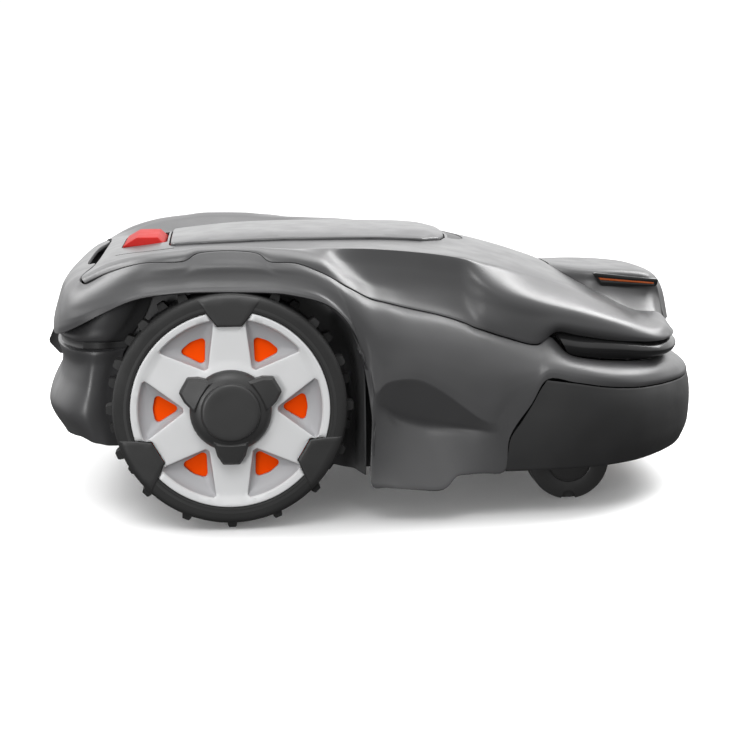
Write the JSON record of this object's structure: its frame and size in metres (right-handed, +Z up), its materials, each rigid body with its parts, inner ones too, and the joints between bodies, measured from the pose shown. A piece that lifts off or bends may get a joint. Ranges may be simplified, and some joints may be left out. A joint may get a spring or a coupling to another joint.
{
  "type": "robotic lawn mower",
  "caption": "Two-wheel-drive robotic lawn mower: floating plastic shell over a chassis with lugged rear wheels, front casters, blade disc, hatch and stop button.",
  "frame": {"origin": "on the ground, under the centre of the bounding box", "axes": "+X forward, towards the nose; +Y to the mower's own left; +Z up"},
  "size_m": [0.733, 0.558, 0.291],
  "materials": {
    "hood_plastic": "satin charcoal",
    "shell_plastic": "fine satin charcoal",
    "bumper_plastic": "fine-grained black",
    "chassis_plastic": "textured black",
    "tyre_rubber": "matt",
    "rim_silver": "silver-painted satin",
    "cap_grey": "satin dark grey",
    "accent_orange": "satin orange",
    "stop_red": "gloss red",
    "smoked_lens": "polished smoked",
    "gloss_black": "gloss black",
    "steel": "ground",
    "motor_can": "satin",
    "contact_copper": "bright",
    "battery_wrap": "satin dark blue",
    "board": "green solder mask"
  },
  "bodies": {
    "chassis": {"chassis_tub": "chassis_plastic", "chassis_lid": "chassis_plastic", "shell_carrier_front": "chassis_plastic", "shell_carrier_rear": "chassis_plastic", "battery_pack": "battery_wrap", "battery_door": "chassis_plastic", "circuit_board": "board", "guide_rod_front": "steel", "guide_rod_rear": "steel", "height_motor": "motor_can", "drive_motor_right": "motor_can", "charging_contact_right": "contact_copper", "drive_motor_left": "motor_can", "charging_contact_left": "contact_copper"},
    "shell": {"hood": "hood_plastic", "side_shell": "shell_plastic", "rear_cowl": "shell_plastic", "front_bumper": "bumper_plastic", "nose_module": "shell_plastic", "status_light": "smoked_lens", "tail_fin": "bumper_plastic", "control_panel": "chassis_plastic", "display_window": "gloss_black", "headlight_lens_right": "smoked_lens", "sensor_visor_right": "gloss_black", "headlight_lens_left": "smoked_lens", "sensor_visor_left": "gloss_black"},
    "hatch": {"hatch": "hood_plastic"},
    "stop_button": {"stop_button": "stop_red"},
    "jog_knob": {"jog_knob": "cap_grey"},
    "start_button": {"start_button": "accent_orange"},
    "cutting_deck": {"cutting_motor": "motor_can", "deck_bracket": "chassis_plastic"},
    "height_screw": {"height_screw": "steel"},
    "blade_disc": {"blade_disc": "cap_grey", "blade_screw_1": "steel", "blade_screw_2": "steel", "blade_screw_3": "steel"},
    "skid_plate": {"skid_plate": "chassis_plastic"},
    "blade_1": {"blade_1": "steel"},
    "blade_2": {"blade_2": "steel"},
    "blade_3": {"blade_3": "steel"},
    "wheel_right": {"tyre_right": "tyre_rubber", "tyre_clips_right": "bumper_plastic", "rim_right": "rim_silver", "accent_disc_right": "accent_orange", "hub_cap_right": "cap_grey", "drive_axle_right": "steel"},
    "caster_right": {"caster_fork_right": "chassis_plastic", "caster_axle_right": "steel"},
    "caster_wheel_right": {"caster_wheel_right": "cap_grey"},
    "wheel_left": {"tyre_left": "tyre_rubber", "tyre_clips_left": "bumper_plastic", "rim_left": "rim_silver", "accent_disc_left": "accent_orange", "hub_cap_left": "cap_grey", "drive_axle_left": "steel"},
    "caster_left": {"caster_fork_left": "chassis_plastic", "caster_axle_left": "steel"},
    "caster_wheel_left": {"caster_wheel_left": "cap_grey"}
  },
  "joints": [
    {"name": "shell_bump", "type": "slide", "parent": "chassis", "child": "shell", "axis": [1, 0, 0], "range_m": [-0.005, 0.005], "stiffness_N_per_m": 3000},
    {"name": "hatch_hinge", "type": "hinge", "parent": "shell", "child": "hatch", "pos_m": [-0.214, 0, 0.272], "axis": [0, -1, 0], "range_deg": [0, 75]},
    {"name": "stop_press", "type": "slide", "parent": "shell", "child": "stop_button", "axis": [0, 0, -1], "range_m": [0, 0.004], "stiffness_N_per_m": 2000, "springref_m": -0.002},
    {"name": "start_press", "type": "slide", "parent": "shell", "child": "start_button", "axis": [0, 0, -1], "range_m": [0, 0.002], "stiffness_N_per_m": 800, "springref_m": -0.001},
    {"name": "jog_knob_turn", "type": "hinge", "parent": "shell", "child": "jog_knob", "pos_m": [-0.095, 0, 0.262], "axis": [0, 0, 1], "continuous": true},
    {"name": "deck_height", "type": "slide", "parent": "chassis", "child": "cutting_deck", "axis": [0, 0, 1], "range_m": [-0.016, 0.024]},
    {"name": "height_screw_turn", "type": "hinge", "parent": "chassis", "child": "height_screw", "pos_m": [0.045, -0.062, 0.12], "axis": [0, 0, 1], "range_deg": [-720, 1080]},
    {"name": "blade_disc_spin", "type": "hinge", "parent": "cutting_deck", "child": "blade_disc", "pos_m": [0.045, 0, 0.0455], "axis": [0, 0, 1], "continuous": true},
    {"name": "skid_plate_spin", "type": "hinge", "parent": "cutting_deck", "child": "skid_plate", "pos_m": [0.045, 0, 0.03], "axis": [0, 0, 1], "continuous": true},
    {"name": "blade_1_swing", "type": "hinge", "parent": "blade_disc", "child": "blade_1", "pos_m": [0.11428, 0.04, 0.0417], "axis": [0, 0, 1], "continuous": true},
    {"name": "blade_2_swing", "type": "hinge", "parent": "blade_disc", "child": "blade_2", "pos_m": [-0.02428, 0.04, 0.0417], "axis": [0, 0, 1], "continuous": true},
    {"name": "blade_3_swing", "type": "hinge", "parent": "blade_disc", "child": "blade_3", "pos_m": [0.045, -0.08, 0.0417], "axis": [0, 0, 1], "continuous": true},
    {"name": "wheel_right_drive", "type": "hinge", "parent": "chassis", "child": "wheel_right", "pos_m": [-0.165, -0.24, 0.125], "axis": [0, 1, 0], "continuous": true},
    {"name": "caster_right_swivel", "type": "hinge", "parent": "chassis", "child": "caster_right", "pos_m": [0.221, -0.155, 0.13], "axis": [0, 0, 1], "continuous": true},
    {"name": "caster_right_roll", "type": "hinge", "parent": "caster_right", "child": "caster_wheel_right", "pos_m": [0.203, -0.155, 0.044], "axis": [0, 1, 0], "continuous": true},
    {"name": "wheel_left_drive", "type": "hinge", "parent": "chassis", "child": "wheel_left", "pos_m": [-0.165, 0.24, 0.125], "axis": [0, 1, 0], "continuous": true},
    {"name": "caster_left_swivel", "type": "hinge", "parent": "chassis", "child": "caster_left", "pos_m": [0.221, 0.155, 0.13], "axis": [0, 0, 1], "continuous": true},
    {"name": "caster_left_roll", "type": "hinge", "parent": "caster_left", "child": "caster_wheel_left", "pos_m": [0.203, 0.155, 0.044], "axis": [0, 1, 0], "continuous": true}
  ],
  "couplings": [
    {"joint": "height_screw_turn", "follows": "deck_height", "rad_per_m": 785.4}
  ]
}
